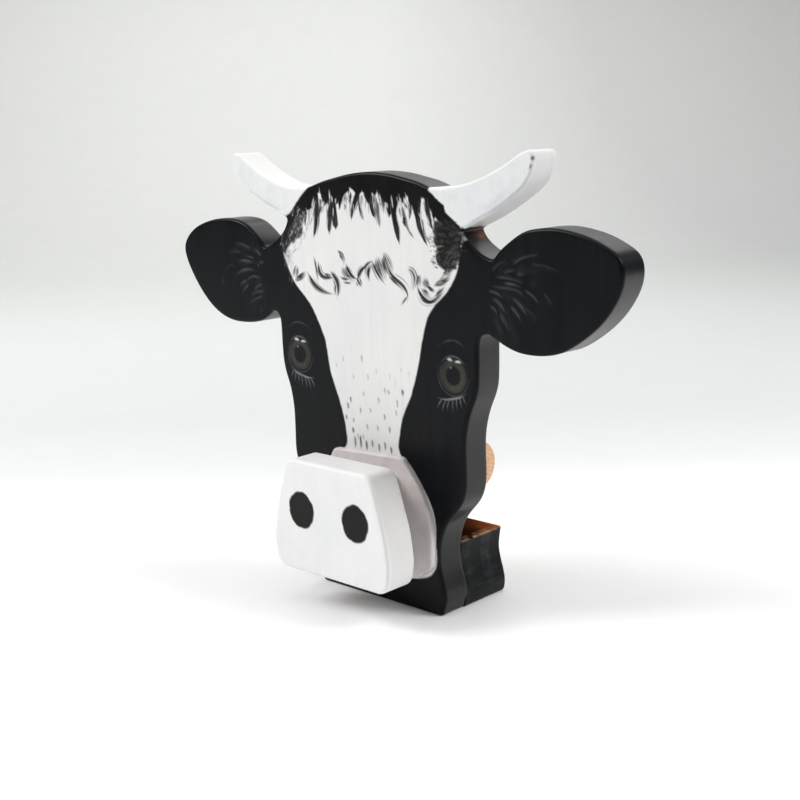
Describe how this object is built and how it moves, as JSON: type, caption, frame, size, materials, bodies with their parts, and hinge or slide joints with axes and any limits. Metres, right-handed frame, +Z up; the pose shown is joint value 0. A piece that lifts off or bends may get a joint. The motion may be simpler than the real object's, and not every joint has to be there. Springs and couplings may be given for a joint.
{
  "type": "eyeglasses display stand",
  "caption": "Free-standing glasses stand: an animal-head board on a foot block, with a nose block held off its face so the rims of the glasses hang in the slots behind the nose.",
  "frame": {"origin": "centre of the bounding box in plan, on the table plane the base stands on", "axes": "+X along the ears towards the stand's own left ear as seen from the front right, +Y from the painted face to the back, +Z up"},
  "size_m": [0.1753, 0.0502, 0.1356],
  "materials": {
    "head_board": "hand painted satin black, with white face, horns and hair brushed on",
    "nose_plate": "hand painted satin white, sanded front edge",
    "nose_spacer": "hand painted satin white",
    "muzzle_block": "hand painted satin white, sanded edges, dark painted nostrils",
    "foot_block": "satin black sides, red-brown stained top",
    "rear_rest": "bare natural wood, unpainted",
    "blind_dowels": "fluted bare wood, hidden",
    "foot_screws": "zinc plated steel, hidden",
    "rest_pins": "bare wood pins, hidden"
  },
  "bodies": {
    "root": {"head_board": "head_board", "nose_plate": "nose_plate", "nose_spacer": "nose_spacer", "muzzle_block": "muzzle_block", "foot_block": "foot_block", "rear_rest": "rear_rest", "blind_dowels": "blind_dowels", "foot_screws": "foot_screws", "rest_pins": "rest_pins"}
  },
  "joints": []
}
